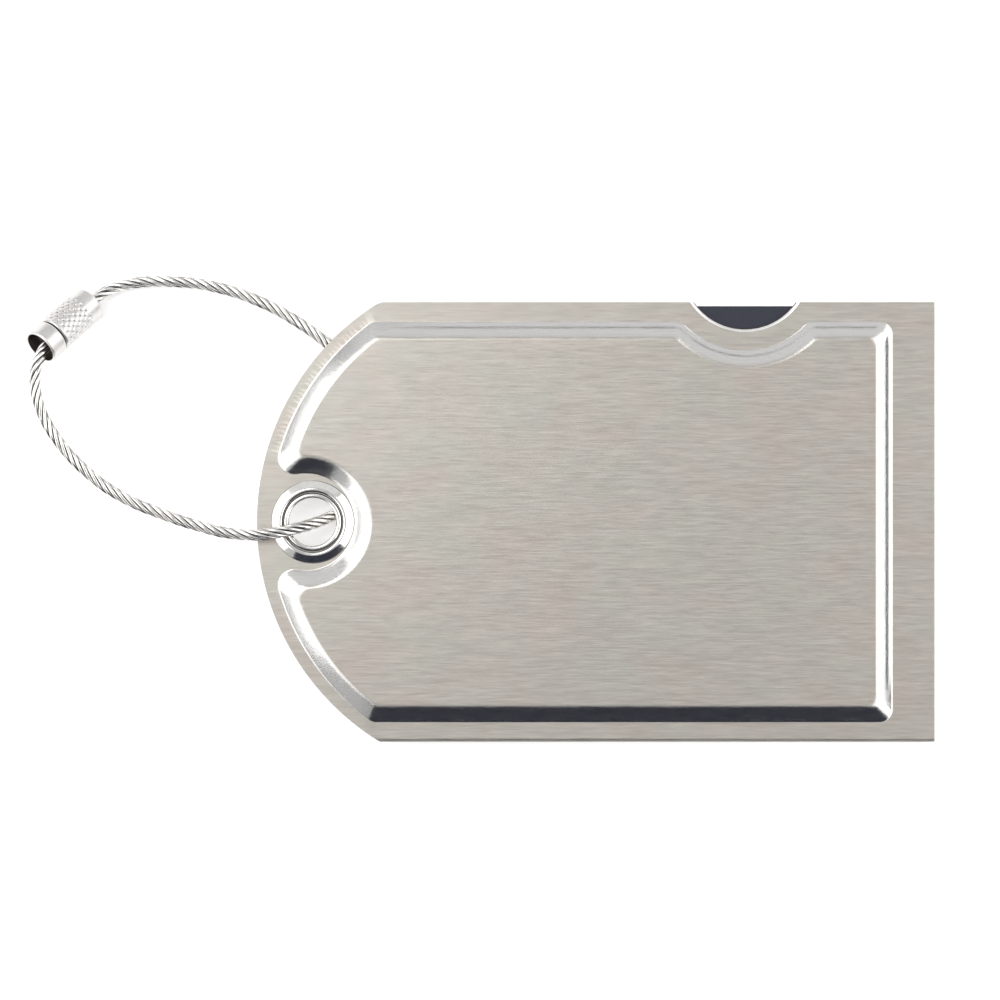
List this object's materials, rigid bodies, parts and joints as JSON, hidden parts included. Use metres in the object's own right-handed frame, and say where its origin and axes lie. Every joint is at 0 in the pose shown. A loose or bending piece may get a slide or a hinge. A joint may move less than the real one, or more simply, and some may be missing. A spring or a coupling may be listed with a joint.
{
  "type": "luggage tag",
  "caption": "Flat metal luggage tag: embossed case round a slide-in card, with an eyelet and a wire-rope loop closed by a small screw clasp.",
  "frame": {"origin": "centre of the case's box, cable and clasp left out", "axes": "+Z out of the front face, +X along the case away from the eyelet, +Y towards the pocket's open edge"},
  "size_m": [0.1443, 0.0745, 0.0111],
  "materials": {
    "steel_front": "fine brushed along the tag's length, rolled edges",
    "steel_rear": "fine brushed sheet",
    "eyelet_metal": "polished nickel plate",
    "card_stock": "matt dark slate card",
    "label_paper": "uncoated paper with plain writing lines",
    "cable_steel": "twisted bright steel strands",
    "clasp_metal": "bright nickel plate with a diamond knurl",
    "ferrule_metal": "pressed dull sleeve"
  },
  "bodies": {
    "case": {"front_shell": "steel_front", "rear_shell": "steel_rear", "eyelet_barrel": "eyelet_metal", "eyelet_washer": "eyelet_metal"},
    "insert": {"insert_card": "card_stock", "address_label": "label_paper"},
    "loop": {"wire_rope": "cable_steel", "clasp_screw": "clasp_metal", "ferrule_screw_end": "ferrule_metal"},
    "swivel": {"ferrule_sleeve_end": "ferrule_metal"},
    "sleeve": {"clasp_sleeve": "clasp_metal"}
  },
  "joints": [
    {"name": "insert_slide", "type": "slide", "parent": "case", "child": "insert", "axis": [0, 1, 0], "range_m": [0, 0.07]},
    {"name": "loop_swing", "type": "hinge", "parent": "case", "child": "loop", "pos_m": [-0.0451, 0, 0], "axis": [0, 0, 1], "range_deg": [-45, 40]},
    {"name": "sleeve_turn", "type": "hinge", "parent": "loop", "child": "swivel", "pos_m": [-0.08249, 0.03341, -0.00097], "axis": [0.5868, 0.6248, -0.515], "range_deg": [0, 1080]},
    {"name": "sleeve_slide", "type": "slide", "parent": "swivel", "child": "sleeve", "axis": [0.5868, 0.6248, -0.515], "range_m": [0, 0.0021]}
  ],
  "couplings": [
    {"joint": "sleeve_turn", "follows": "sleeve_slide", "rad_per_m": 8976}
  ]
}
